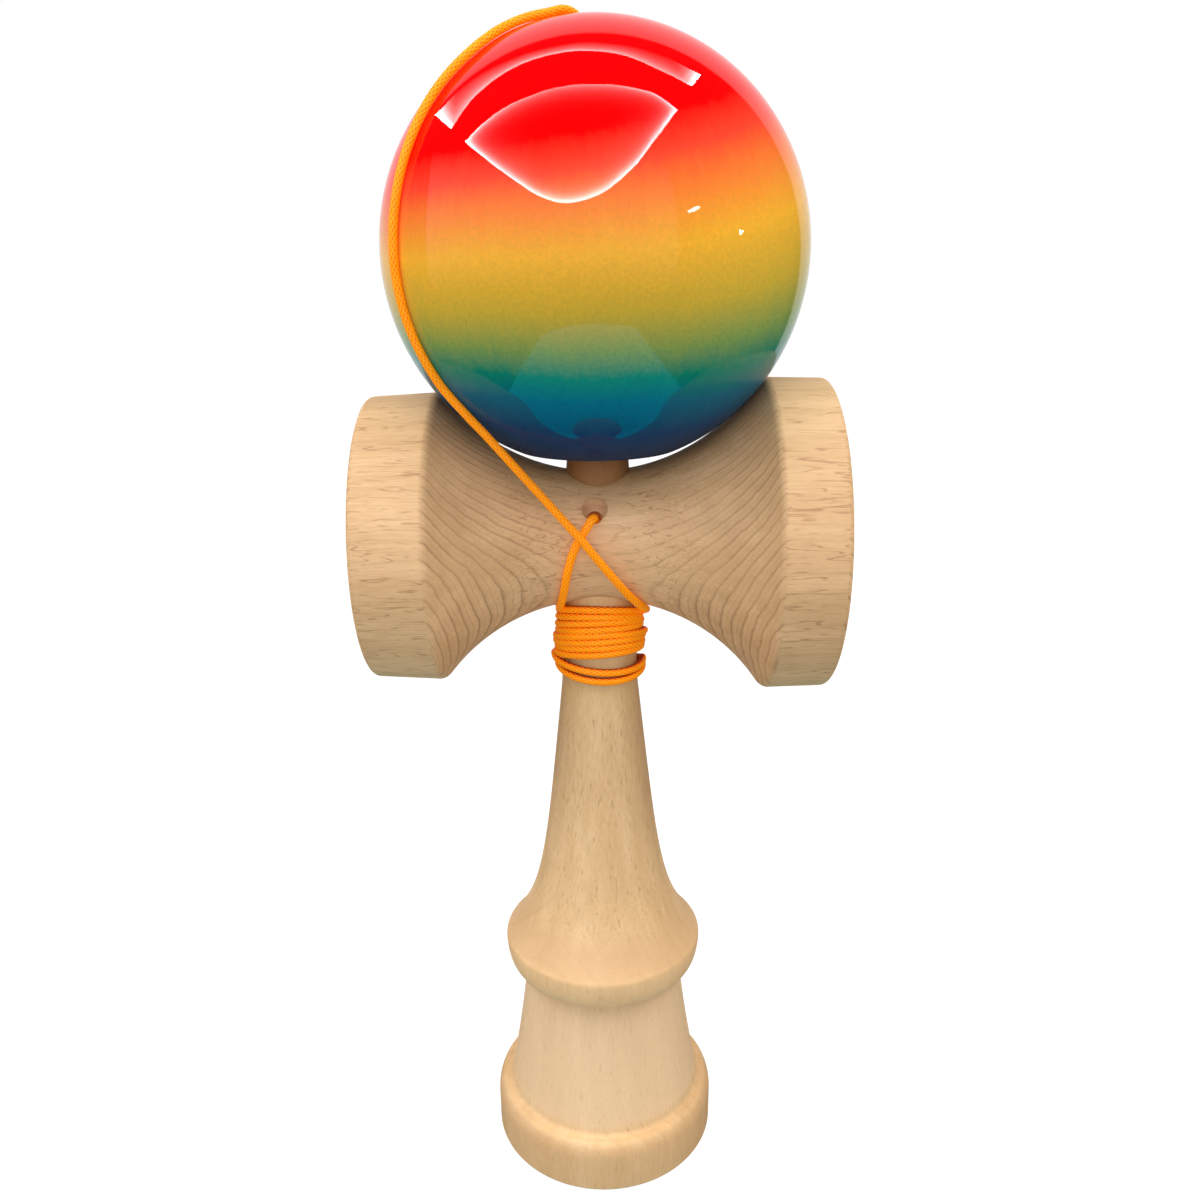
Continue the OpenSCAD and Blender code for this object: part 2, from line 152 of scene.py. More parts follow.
# Meshes
def shade_smooth(mesh, sharp=0):
    """Smooth shading, apart from edges past an angle in degrees where one is given."""
    mesh.polygons.foreach_set("use_smooth", [True] * len(mesh.polygons))
    if sharp:
        mesh.set_sharp_from_angle(angle=math.radians(sharp))


def mesh_object(name, points, faces, sharp=0):
    mesh = bpy.data.meshes.new(name)
    mesh.from_pydata([tuple(c * MM for c in p) for p in points], [], faces)
    mesh.validate()
    shade_smooth(mesh, sharp)
    obj = bpy.data.objects.new(name, mesh)
    scene.collection.objects.link(obj)
    return obj


def lathe(name, outline, segments, along_x=False, closed=False):
    """Turns an outline of (distance from the axis, place along it) round Z or the crosspiece's axis."""
    points, rows = [], []
    for r, t in outline:
        row = []
        if r < 1e-9:
            points.append((t, 0, CROSS_Z) if along_x else (0, 0, t))
            row = [len(points) - 1] * segments
        else:
            for k in range(segments):
                a = 2 * math.pi * k / segments
                c, s = r * math.cos(a), r * math.sin(a)
                points.append((t, c, CROSS_Z + s) if along_x else (c, s, t))
                row.append(len(points) - 1)
        rows.append(row)
    faces = []
    pairs = list(zip(rows, rows[1:]))
    if closed:
        pairs.append((rows[-1], rows[0]))
    for low, high in pairs:
        for k in range(segments):
            n = (k + 1) % segments
            face = []
            for i in (low[k], low[n], high[n], high[k]):
                if i not in face:
                    face.append(i)
            if len(face) > 2:
                faces.append(tuple(face))
    obj = mesh_object(name, points, faces)
    bm = bmesh.new()
    bm.from_mesh(obj.data)
    bmesh.ops.recalc_face_normals(bm, faces=bm.faces)
    bm.to_mesh(obj.data)
    bm.free()
    shade_smooth(obj.data, TURNED_EDGE)
    return obj


def rod(name, low_r, high_r, low, high, segments):
    return lathe(name, [(0, low), (low_r, low), (high_r, high), (0, high)], segments)


def cut(obj, *cutters):
    for cutter in cutters:
        modifier = obj.modifiers.new("cut", "BOOLEAN")
        modifier.operation = "DIFFERENCE"
        modifier.solver = "EXACT"
        modifier.object = cutter
    bpy.context.view_layer.update()
    evaluated = obj.evaluated_get(bpy.context.evaluated_depsgraph_get())
    made = bpy.data.meshes.new_from_object(evaluated)
    obj.modifiers.clear()
    old, obj.data = obj.data, made
    bpy.data.meshes.remove(old)
    for cutter in cutters:
        bpy.data.objects.remove(cutter)
    shade_smooth(made, TURNED_EDGE)


def rows_of(curve, start, stop, steps):
    return [curve(start + (stop - start) * i / steps) for i in range(steps + 1)]


def bend(start, corner, end, steps):
    """A smooth bend from start to end, drawn towards a corner."""
    a, b, c = Vector(start), Vector(corner), Vector(end)
    return rows_of(lambda t: tuple(a * (1 - t) ** 2 + b * 2 * t * (1 - t) + c * t * t), 0, 1, steps)


def cone_point(t):
    r = CONE_FOOT_R + (CONE_TOP_R - CONE_FOOT_R) * t - 4 * CONE_HOLLOW * t * (1 - t)
    return (r, BASE_H + (RIDGE_Z - BASE_H) * t)


def ken_outline():
    bowl = bowl_r(BASE_CUP_R, BASE_CUP_DEPTH)
    middle = BASE_CUP_DEPTH - bowl
    stop = math.acos((BASE_CUP_BEVEL - middle) / bowl)
    ledge = BASE_R - CONE_FOOT_R - CONE_FILLET
    out = [(0.0, BASE_CUP_DEPTH)]
    out += rows_of(lambda a: (bowl * math.sin(a), middle + bowl * math.cos(a)), stop / 40, stop, 39)
    out += [(BASE_CUP_R + BASE_CUP_BEVEL, 0.0)]
    out += arc(BASE_R - BASE_EDGE, BASE_EDGE, BASE_EDGE, -90, 0, 10)
    out += rows_of(
        lambda a: (BASE_R - ledge * (1 - math.cos(a)), BASE_H - BASE_ROUND * (1 - math.sin(a))),
        0,
        math.pi / 2,
        20,
    )
    foot = CONE_FILLET / (RIDGE_Z - BASE_H)
    out += bend((CONE_FOOT_R + CONE_FILLET, BASE_H), (CONE_FOOT_R, BASE_H), cone_point(foot), 8)
    out += rows_of(cone_point, foot + 0.02, 1 - foot, 40)
    out += bend(cone_point(1 - foot), cone_point(1), (CONE_TOP_R + CONE_FILLET, RIDGE_Z), 8)
    out += rows_of(
        lambda a: (RIDGE_R - RIDGE_LOW_W * (1 - math.cos(a)), RIDGE_Z + RIDGE_LOW_H * (1 + math.sin(a))),
        -math.pi / 2,
        0,
        16,
    )
    slope = math.atan((taper_r(RIDGE_TOP_Z) - taper_r(RIDGE_TOP_Z + 0.01)) / 0.01)
    meet_r = RIDGE_R - RIDGE_SOFT * (1 - math.cos(slope))
    meet_z = RIDGE_TOP_Z - (meet_r - taper_r(RIDGE_TOP_Z)) / math.tan(slope)
    soft_z = meet_z - RIDGE_SOFT * math.sin(slope)
    out += arc(RIDGE_R - RIDGE_SOFT, soft_z, RIDGE_SOFT, 2, math.degrees(slope), 12)
    grip = [meet_z + (NECK_Z - meet_z) * (i / 90) ** 2 for i in range(1, 91)]
    out += [(taper_r(z), z) for z in grip]
    out += rows_of(lambda z: (shaft_r(z), z), NECK_Z + 1, SHAFT_TOP_Z, 30)
    tip_z = HANDLE_L - TIP_R
    out += rows_of(
        lambda t: (SHAFT_R + (TIP_R - SHAFT_R) * t, SHAFT_TOP_Z + (tip_z - SHAFT_TOP_Z) * t), 0.05, 1, 20
    )
    out += arc(0, tip_z, TIP_R, 7.5, 82.5, 10) + [(0.0, HANDLE_L)]
    return out


def cup_outline(r, taper, depth):
    end_r = r - taper
    rim = end_r - CUP_RIM
    bowl = bowl_r(rim, depth)
    middle = CROSS_HALF - depth + bowl
    stop = math.asin((rim - CROSS_ROUND) / bowl)
    out = [(0.0, CROSS_HALF - depth)]
    out += rows_of(lambda a: (bowl * math.sin(a), middle - bowl * math.cos(a)), stop / 40, stop, 39)
    out += [(rim + CROSS_ROUND, CROSS_HALF)]
    out += arc(end_r - CROSS_ROUND, CROSS_HALF - CROSS_ROUND, CROSS_ROUND, 90, 0, 10)
    high = (r - CROSS_ROUND, scoop_x(r - CROSS_ROUND))
    return out + bend((r, scoop_x(r) + CROSS_ROUND), (r, scoop_x(r)), high, 8)


def sarado_outline():
    small = math.asin(scoop_x(SMALL_R - CROSS_ROUND) / SCOOP_R)
    big = math.asin(scoop_x(BIG_R - CROSS_ROUND) / SCOOP_R)
    out = [(r, -x) for r, x in cup_outline(SMALL_R, SMALL_TAPER, SMALL_DEPTH)]
    out += rows_of(
        lambda t: (
            SCOOP_C - SCOOP_R * math.cos(-small + (big + small) * t),
            SCOOP_R * math.sin(-small + (big + small) * t),
        ),
        0.01,
        0.99,
        110,
    )
    return out + cup_outline(BIG_R, BIG_TAPER, BIG_DEPTH)[::-1]


def tama_outline():
    mouth_z = BALL_Z - math.sqrt(BALL_R**2 - SPIKE_HOLE_R**2)
    sink_z = BALL_Z + math.sqrt(BALL_R**2 - BALL_SINK_R**2)
    top = math.asin(BALL_SINK_R / BALL_R)
    bevel_r = SPIKE_HOLE_R + SPIKE_HOLE_BEVEL
    low = math.pi - math.asin(bevel_r / BALL_R)
    out = rows_of(lambda a: (BALL_R * math.sin(a), BALL_Z + BALL_R * math.cos(a)), top, low, 150)
    out += [(SPIKE_HOLE_R, mouth_z + SPIKE_HOLE_BEVEL)]
    start_z = mouth_z + SPIKE_HOLE_BEVEL
    out += rows_of(
        lambda t: (
            SPIKE_HOLE_R + (SPIKE_HOLE_END_R - SPIKE_HOLE_R) * t,
            start_z + (SPIKE_HOLE_END_Z - start_z) * t,
        ),
        0.05,
        1,
        20,
    )
    hole_top_z = sink_z - (BALL_SINK_R - BALL_STRING_HOLE_R)
    return out + [(BALL_STRING_HOLE_R, SPIKE_HOLE_END_Z), (BALL_STRING_HOLE_R, hole_top_z)]


def bead_outline():
    low = arc(BEAD_R - BEAD_ROUND, BEAD_Z + BEAD_ROUND, BEAD_ROUND, -90, 0, 10)
    high = arc(BEAD_R - BEAD_ROUND, BEAD_Z + BEAD_H - BEAD_ROUND, BEAD_ROUND, 0, 90, 10)
    return [(BEAD_HOLE_R, BEAD_Z)] + low + high + [(BEAD_HOLE_R, BEAD_Z + BEAD_H)]


# The string's way
def smooth(points, step):
    """A smooth line through points, with a point every step."""
    p = np.array(points, float)
    p = np.vstack([2 * p[0] - p[1], p, 2 * p[-1] - p[-2]])
    out = []
    for i in range(1, len(p) - 2):
        a, b, c, d = p[i - 1 : i + 3]
        k = [np.linalg.norm(v) ** 0.5 for v in (b - a, c - b, d - c)]
        m1 = (c - b) + k[1] * ((b - a) / k[0] - (c - a) / (k[0] + k[1]))
        m2 = (c - b) + k[1] * ((d - c) / k[2] - (d - b) / (k[1] + k[2]))
        for t in np.linspace(0, 1, 24, endpoint=False):
            h = (2 * t**3 - 3 * t**2 + 1, t**3 - 2 * t**2 + t, -2 * t**3 + 3 * t**2, t**3 - t**2)
            out.append(h[0] * b + h[1] * m1 + h[2] * c + h[3] * m2)
    out = np.array(out + [p[-2]])
    along = np.concatenate([[0], np.cumsum(np.linalg.norm(np.diff(out, axis=0), axis=1))])
    want = np.linspace(0, along[-1], int(along[-1] / step) + 1)
    return np.stack([np.interp(want, along, out[:, i]) for i in range(3)], axis=1)


LOOP_Z = CROSS_Z + SHAFT_R * math.tan(CROSS_HOLE_ANGLE)
LOOP_R = shaft_r(LOOP_Z - STRING_R) + STRING_GAP + STRING_R
LEAD = [
    (-0.5, -7.1, 114.5), (-0.6, -8.45, 115.2), (-0.95, -9.65, 115.3), (-1.4, -10.3, 114.7),
    (-2.1, -10.6, 113.6), (-2.9, -10.78, 112.4), (-3.7, -10.95, 110.7), (-4.3, -10.95, 108.8),
    (-4.8, -10.45, 106.6), (-5.2, -9.5, 104.4), (-5.6, -7.9, 102.4), (-5.95, -5.7, 100.9),
    (-6.25, -2.9, 99.9),
]
# Heights of each turn at the neck's left and right, how far it rises to the front and falls to the back,
# and how far it stands off the neck
TURN_LEFT = [99.4, 98.4, 97.3, 96.1, 95.1, 94.15, 93.3, 92.45, 91.5, 91.1, 89.8]
TURN_RIGHT = [98.0, 97.2, 96.6, 95.85, 94.75, 94.05, 93.05, 92.35, 90.0, 89.0]
FRONT_RISE = [2.0, 1.9, 1.8, 1.6, 1.65, 1.4, 1.3, 1.07, -0.45, -0.8]
BACK_FALL = [2.2, 2.3, 2.45, 2.5, 2.5, 2.65, 2.75, 2.9, 2.6, 2.7]
OFF_LEFT = [0.05, 0.05, 0.1, 0.15, 0.1, 0.45, 0.4, 0.15, 0.3, 0.65, 0.08]
OFF_RIGHT = [0.05, 0.1, 0.25, 0.1, 0.75, 0.4, 0.3, 0.15, 0.3, 0.2]
OFF_FRONT = [0.0, 0.14, 0.03, 0.16, 0.02, 0.15, 0.03, 0.12, 0.1, 0.1]
OFF_BACK = 0.1


def wound(angle, z, off):
    r = shaft_r(z) + STRING_R + STRING_LIFT + off
    return (r * math.cos(math.radians(angle)), r * math.sin(math.radians(angle)), z)


def half_turn(start, first, last, rise, side_off):
    """Half a turn round the neck between two (height, stand-off) pairs, from an angle of start downwards."""
    out = []
    for i in range(12):
        a = math.pi * i / 12
        share = (1 - math.cos(a)) / 2
        z = first[0] + (last[0] - first[0]) * share + rise * math.sin(a)
        edge_off = first[1] + (last[1] - first[1]) * share
        out.append(wound(start - math.degrees(a), z, edge_off + (side_off - edge_off) * math.sin(a) ** 2))
    return out


WINDING = []
for k in range(len(TURN_RIGHT)):
    left, right = (TURN_LEFT[k], OFF_LEFT[k]), (TURN_RIGHT[k], OFF_RIGHT[k])
    WINDING += half_turn(180, left, right, -BACK_FALL[k], OFF_BACK)
    WINDING += half_turn(0, right, (TURN_LEFT[k + 1], OFF_LEFT[k + 1]), FRONT_RISE[k], OFF_FRONT[k])
RISE = [
    (-6.7, 1.6, 89.7), (-6.3, 3.8, 89.9), (-4.8, 6, 90.6), (-2.4, 7.3, 91.5), (0.6, 7.8, 92.8),
    (3.5, 7, 94.4), (5.8, 5.1, 95.8), (7.1, 2.6, 97.2), (7.5, -0.5, 98.4), (7.1, -3.5, 99.6),
    (6.2, -6.5, 101.1), (4.8, -8.9, 103.1), (3.1, -10.7, 105.5), (1.3, -11.8, 108), (-0.5, -12.3, 110.4),
    (-2.3, -12.5, 112.8), (-4.2, -12.8, 115.1), (-6.1, -13.1, 117.4), (-8, -13.4, 119.7),
    (-9.9, -13.7, 122), (-11.8, -14, 124.3), (-13.7, -14.3, 126.6), (-15.6, -14.6, 128.9),
    (-17.6, -15, 131.2),
]
CROWN_LOW, CROWN_HIGH, CROWN_STEPS = 123.5, 12, 22
CROWN_SIDE_TURN, CROWN_FRONT_TURN, CROWN_BACK_TURN, CROWN_BULGE_TURN = 33.5, 3.3, 6, 3
CROWN_BULGE_ANGLE, CROWN_BULGE_WIDTH = 34, 12


def crown_turn(a):
    """How far the string lies towards the front from the ball's left, at an angle from the handle's axis."""
    if a > 90:
        return CROWN_SIDE_TURN + CROWN_FRONT_TURN * ((a - 90) / (CROWN_LOW - 90)) ** 2
    bulge = CROWN_BULGE_TURN * math.exp(-(((a - CROWN_BULGE_ANGLE) / CROWN_BULGE_WIDTH) ** 2))
    return CROWN_SIDE_TURN + bulge - CROWN_BACK_TURN * ((90 - a) / (90 - CROWN_HIGH)) ** 4


def crown(t):
    r = BALL_R + STRING_R + STRING_LIFT
    a = CROWN_LOW + (CROWN_HIGH - CROWN_LOW) * t
    way, a = math.radians(crown_turn(a)), math.radians(a)
    return (-r * math.sin(a) * math.cos(way), -r * math.sin(a) * math.sin(way), BALL_Z + r * math.cos(a))


DIVE_WAY = math.radians(crown_turn(CROWN_HIGH))
DIVE = [
    (-h * math.cos(DIVE_WAY), -h * math.sin(DIVE_WAY), BALL_TOP_Z + up)
    for h, up in ((4.6, 0.42), (3.3, 0.3), (2, -0.5), (0.8, -2), (0.2, -3.8), (0, -5))
]
TAIL_END = KNOT_Z + KNOT_H - KNOT_TIE
TAIL = [(0, 0, DIVE[-1][2] + (TAIL_END - DIVE[-1][2]) * i / 5) for i in range(1, 6)]
CROWN = [crown(i / CROWN_STEPS) for i in range(CROWN_STEPS + 1)]
ROUTE = [(CROSS_HOLE_X, -LOOP_R, LOOP_Z)] + LEAD + WINDING + RISE + CROWN + DIVE + TAIL


def braided(name, line, radius, sides, closed=False, wound_part=None):
    """A tube along a line whose surface has the raised, crossing strands of a braid.

    Within wound_part, a range of the line's points, the sides that face the next turns are marked darker, as
    painted shade between the turns.
    """
    line = np.array(line, float)
    n = len(line)
    if closed:
        way = np.roll(line, -1, 0) - np.roll(line, 1, 0)
    else:
        way = np.gradient(line, axis=0)
    way /= np.linalg.norm(way, axis=1)[:, None]
    up = np.zeros_like(line)
    u = np.cross(way[0], (0.3, 0.2, 0.93))
    for i in range(n):
        u = u - way[i] * (u @ way[i])
        u /= np.linalg.norm(u)
        up[i] = u
    side = np.cross(way, up)
    step = np.linalg.norm(np.diff(line, axis=0), axis=1).mean()
    along = np.arange(n) * step
    around = 2 * np.pi * np.arange(sides) / sides
    s, a = np.meshgrid(along, around, indexing="ij")
    pitch = 2 * np.pi / BRAID_PITCH
    one = np.cos(BRAID_STRANDS * a + pitch * s)
    two = np.cos(BRAID_STRANDS * a - pitch * s)
    raised = np.maximum(one, two)
    r = radius * (BRAID_CORE + BRAID_RELIEF * raised)
    outward = np.cos(a)[..., None] * up[:, None] + np.sin(a)[..., None] * side[:, None]
    points = line[:, None] + r[..., None] * outward
    faces = []
    for i in range(n if closed else n - 1):
        j = (i + 1) % n
        for k in range(sides):
            m = (k + 1) % sides
            faces.append((i * sides + k, i * sides + m, j * sides + m, j * sides + k))
    if not closed:
        faces.append(tuple(range(sides - 1, -1, -1)))
        faces.append(tuple((n - 1) * sides + k for k in range(sides)))
    obj = mesh_object(name, points.reshape(-1, 3), faces, BRAID_EDGE)
    # The mark sets the string's colour: low in the braid's pits and high on its raised strands, for painted
    # shade and painted highlight.
    mark = 0.5 + 0.5 * raised
    # Painted shade on the sides of each turn that face the next turns.
    if wound_part:
        turn = slice(*wound_part)
        out = np.linalg.norm(points[turn, :, :2], axis=2) - np.linalg.norm(line[turn, None, :2], axis=2)
        mark[turn] -= 1.5 * np.clip(0.8 - out / radius, 0, 1)
    shade = obj.data.attributes.new("raised", "FLOAT", "POINT")
    shade.data.foreach_set("value", mark.reshape(-1).astype(np.float32))
    return obj


# Materials
class Nodes:
    """Short ways to add and join the nodes of one material."""

    def __init__(self, name):
        self.material = bpy.data.materials.new(name)
        self.material.use_nodes = True
        self.tree = self.material.node_tree
        self.shader = self.tree.nodes["Principled BSDF"]
        spot = self.add("ShaderNodeTexCoord")
        self.place, self.facing = spot.outputs["Object"], spot.outputs["Normal"]

    def add(self, kind, **inputs):
        node = self.tree.nodes.new(kind)
        for key, value in inputs.items():
            self.put(node.inputs[key.replace("_", " ")], value)
        return node

    def put(self, socket, value):
        if isinstance(value, bpy.types.NodeSocket):
            self.tree.links.new(value, socket)
        else:
            socket.default_value = value

    def math(self, kind, *values, clamp=False):
        node = self.tree.nodes.new("ShaderNodeMath")
        node.operation = kind
        node.use_clamp = clamp
        for socket, value in zip(node.inputs, values):
            self.put(socket, value)
        return node.outputs[0]

    def vector(self, kind, *values, out=0):
        node = self.tree.nodes.new("ShaderNodeVectorMath")
        node.operation = kind
        for socket, value in zip([s for s in node.inputs if s.enabled], values):
            self.put(socket, value)
        return node.outputs[out]

    def noise(self, place, scale, detail=3.0, rough=0.5, colour=False):
        node = self.add("ShaderNodeTexNoise", Vector=place, Scale=scale, Detail=detail, Roughness=rough)
        return node.outputs["Color" if colour else "Fac"]

    def stretch(self, place, x, y, z):
        """Coordinates in which a noise of scale 1 has x, y and z cells to the millimetre."""
        return self.vector("MULTIPLY", place, (x * 1000, y * 1000, z * 1000))

    def ramp(self, value, stops, smooth=False):
        node = self.tree.nodes.new("ShaderNodeValToRGB")
        node.color_ramp.interpolation = "EASE" if smooth else "LINEAR"
        marks = node.color_ramp.elements
        while len(marks) < len(stops):
            marks.new(0.5)
        for mark, (at, colour) in zip(marks, stops):
            mark.position = at
            mark.color = colour if isinstance(colour, tuple) else (colour, colour, colour, 1)
        self.put(node.inputs[0], value)
        return node.outputs[0]

    def mix(self, share, a, b, kind="MIX"):
        node = self.tree.nodes.new("ShaderNodeMix")
        node.data_type = "RGBA"
        node.blend_type = kind
        self.put(node.inputs[0], share)
        self.put(node.inputs[6], a)
        self.put(node.inputs[7], b)
        return node.outputs[2]

    def split(self, place):
        node = self.add("ShaderNodeSeparateXYZ", Vector=place)
        return node.outputs

    def bump(self, height, strength, distance):
        return self.add("ShaderNodeBump", Height=height, Strength=strength, Distance=distance).outputs[0]


def wood(name, along, pith, ring, pale, mid, dark, line, fleck, shares, rough=0.62, tints=(), dishes=()):
    """Sanded beech.

    along is the grain's axis, pith a point on the tree's own axis and ring the width of a year's growth.
    shares says how strongly the rings, the fine lines and the short strokes show.
    A tint is a colour laid between heights: where it starts, is full, is last full and ends.
    A dish is a colour laid round a point. Some tints, and part of the dish, are painted light and shade.
    """
    n = Nodes(name)
    ring_share, hair_share, dash_share = shares

    def grain(across, length):
        return n.stretch(n.place, *[length if i == along else across for i in range(3)])

    across = tuple(0.0 if i == along else 1.0 for i in range(3))
    end_grain = n.math("ABSOLUTE", n.split(n.facing)[along])
    bent = n.vector("SUBTRACT", n.noise(grain(0.045, 0.02), 1.0, 2.0, 0.5, colour=True), (0.5, 0.5, 0.5))
    rough_line = n.vector("SUBTRACT", n.noise(grain(0.5, 0.3), 1.0, 2.0, 0.5, colour=True), (0.5, 0.5, 0.5))
    spot = n.vector("ADD", n.place, n.vector("MULTIPLY", bent, (0.0045, 0.0045, 0.0045)))
    spot = n.vector("ADD", spot, n.vector("MULTIPLY", rough_line, (0.0005, 0.0005, 0.0005)))
    spot = n.vector("MULTIPLY", n.vector("SUBTRACT", spot, tuple(c * MM for c in pith)), across)
    year = n.math("FRACT", n.math("DIVIDE", n.vector("LENGTH", spot, out=1), ring * MM))
    late = n.ramp(
        year, [(0.0, 0.15), (0.3, 0.0), (0.42, 0.4), (0.5, 0.05), (0.8, 0.3), (0.93, 1.0), (1.0, 0.15)]
    )
    calm = n.ramp(n.noise(n.stretch(n.place, 0.06, 0.06, 0.06), 1.0, 2.0), [(0.35, 0.35), (0.65, 1.0)])
    late = n.math("MULTIPLY", n.math("MULTIPLY", late, calm), n.ramp(end_grain, [(0.1, 0.2), (0.45, 1.0)]))
    late = n.math("MULTIPLY", late, ring_share)
    streak = n.noise(grain(0.4, 0.014), 1.0, 4.0, 0.6)
    broad = n.noise(grain(0.08, 0.014), 1.0, 2.0)
    fibre = n.noise(grain(4.5, 0.3), 1.0, 3.0, 0.65)
    tone = n.math("ADD", n.math("MULTIPLY", streak, 0.3), n.math("MULTIPLY", broad, 0.3))
    tone = n.math("ADD", tone, n.math("MULTIPLY", fibre, 0.3))
    colour = n.ramp(tone, [(0.33, pale), (0.45, mid), (0.6, dark)])
    colour = n.mix(late, colour, line)
    contour = n.math("FRACT", n.math("MULTIPLY", n.noise(grain(0.22, 0.02), 1.0, 3.0, 0.6), 14.0))
    hair = n.ramp(n.math("ABSOLUTE", n.math("SUBTRACT", contour, 0.5)), [(0.03, 1.0), (0.11, 0.0)])
    broken = n.ramp(n.noise(grain(0.8, 0.1), 1.0, 2.0), [(0.44, 0.0), (0.56, 1.0)])
    dash = n.ramp(n.noise(grain(2.4, 0.33), 1.0, 1.5, 0.45), [(0.62, 0.0), (0.72, 1.0)])
    hair = n.math("MULTIPLY", n.math("MULTIPLY", hair, broken), hair_share)
    stroke = n.math("MAXIMUM", hair, n.math("MULTIPLY", dash, dash_share))
    stroke = n.math("MULTIPLY", stroke, n.ramp(end_grain, [(0.3, 1.0), (0.62, 0.0)]))
    colour = n.mix(stroke, colour, fleck)
    height = n.split(n.place)[2]
    for low, low_full, high_full, high, share, tone_and_painted_light in tints:
        over, under = n.math("SUBTRACT", height, low * MM), n.math("SUBTRACT", high * MM, height)
        reach = n.math("MULTIPLY", over, 1 / MM / (low_full - low), clamp=True)
        leave = n.math("MULTIPLY", under, 1 / MM / (high - high_full), clamp=True)
        colour = n.mix(n.math("MULTIPLY", n.math("MULTIPLY", reach, leave), share), colour, tone_and_painted_light)
    for centre, radius, share, tone_and_painted_light in dishes:
        away = n.vector("LENGTH", n.vector("SUBTRACT", n.place, tuple(c * MM for c in centre)), out=1)
        within = n.ramp(n.math("DIVIDE", away, radius * MM), [(0.85, share), (1.0, 0.0)])
        colour = n.mix(within, colour, tone_and_painted_light)
    n.put(n.shader.inputs["Base Color"], colour)
    n.put(n.shader.inputs["Roughness"], n.math("ADD", rough - 0.06, n.math("MULTIPLY", fibre, 0.12)))
    n.put(n.shader.inputs["Specular IOR Level"], 0.25)
    relief = n.math("SUBTRACT", n.math("MULTIPLY", fibre, 0.6), n.math("MULTIPLY", stroke, 0.7))
    n.put(n.shader.inputs["Normal"], n.bump(relief, 0.4, 0.00006))
    return n.material


def lacquer():
    """Clear gloss lacquer over a fade between colours along the ball's own slightly tilted axis."""
    n = Nodes("ball_lacquer")
    spot = n.vector("SUBTRACT", n.place, (0, 0, BALL_Z * MM))
    level = n.math("DIVIDE", n.vector("DOT_PRODUCT", spot, (0, -0.135, 0.99), out=1), BALL_R * MM)
    lean = n.math("MAXIMUM", n.math("MULTIPLY_ADD", level, 0.2, 0.08), -0.02)
    aside = n.math("DIVIDE", n.split(spot)[0], BALL_R * MM)
    level = n.math("SUBTRACT", level, n.math("MULTIPLY", lean, aside))
    drift = n.noise(n.stretch(n.place, 0.045, 0.045, 0.02), 1.0, 3.0, 0.5)
    streak = n.noise(n.stretch(n.place, 0.9, 0.9, 0.12), 1.0, 3.0, 0.6)
    grain = n.noise(n.stretch(n.place, 2.0, 2.0, 2.0), 1.0, 4.0, 0.7)
    for cloud, reach in ((drift, 0.12), (streak, 0.05), (grain, 0.05)):
        level = n.math("ADD", level, n.math("MULTIPLY", n.math("SUBTRACT", cloud, 0.5), reach))
    share = n.math("MULTIPLY_ADD", level, 0.5, 0.5)
    fade = [
        (-1.0, (0, 18, 62)), (-0.66, (0, 66, 116)), (-0.49, (0, 108, 140)), (-0.37, (14, 140, 118)),
        (-0.25, (134, 166, 88)), (-0.09, (206, 178, 62)), (0.14, (248, 182, 54)), (0.29, (248, 138, 54)),
        (0.45, (250, 70, 46)), (0.58, (250, 3, 5)), (1.0, (246, 2, 8)),
    ]
    colour = n.ramp(share, [(0.5 + at / 2, linear(*c)) for at, c in fade])
    shade = n.ramp(grain, [(0.3, 0.9), (0.7, 1.06)])
    colour = n.mix(1.0, colour, shade, "MULTIPLY")
    n.put(n.shader.inputs["Base Color"], colour)
    n.put(n.shader.inputs["Roughness"], 0.35)
    n.put(n.shader.inputs["Specular IOR Level"], 0.0)
    n.put(n.shader.inputs["Coat Weight"], n.ramp(share, [(0.19, 0.45), (0.3, 0.9)]))
    n.put(n.shader.inputs["Coat Roughness"], 0.02)
    n.put(n.shader.inputs["Coat IOR"], 1.24)
    wave = n.noise(n.stretch(n.place, 0.12, 0.12, 0.12), 1.0, 2.0)
    n.put(n.shader.inputs["Coat Normal"], n.bump(wave, 0.12, 0.0002))
    return n.material


def string_material():
    n = Nodes("string")
    raised = n.add("ShaderNodeAttribute")
    raised.attribute_name = "raised"
    fuzz = n.noise(n.stretch(n.place, 3.0, 3.0, 3.0), 1.0, 3.0, 0.6)
    value = n.math("ADD", n.math("MULTIPLY", raised.outputs["Fac"], 0.75), n.math("MULTIPLY", fuzz, 0.3))
    # Colours from painted shade, on the winding's sides and in the braid's pits, to a painted highlight on
    # the raised strands.
    orange_painted_shade_to_highlight = [(0.0, (140, 46, 0)), (0.25, (226, 92, 0)), (0.6, (252, 140, 0)), (0.95, (255, 180, 20))]
    colour = n.ramp(value, [(at, linear(*c)) for at, c in orange_painted_shade_to_highlight])
    n.put(n.shader.inputs["Base Color"], colour)
    n.put(n.shader.inputs["Roughness"], 0.6)
    n.put(n.shader.inputs["Specular IOR Level"], 0.1)
    # The string glows a little in its own colours: painted light that brightens it.
    n.put(n.shader.inputs["Emission Color"], colour)
    n.put(n.shader.inputs["Emission Strength"], 0.24)
    n.put(n.shader.inputs["Normal"], n.bump(fuzz, 0.3, 0.00005))
    return n.material


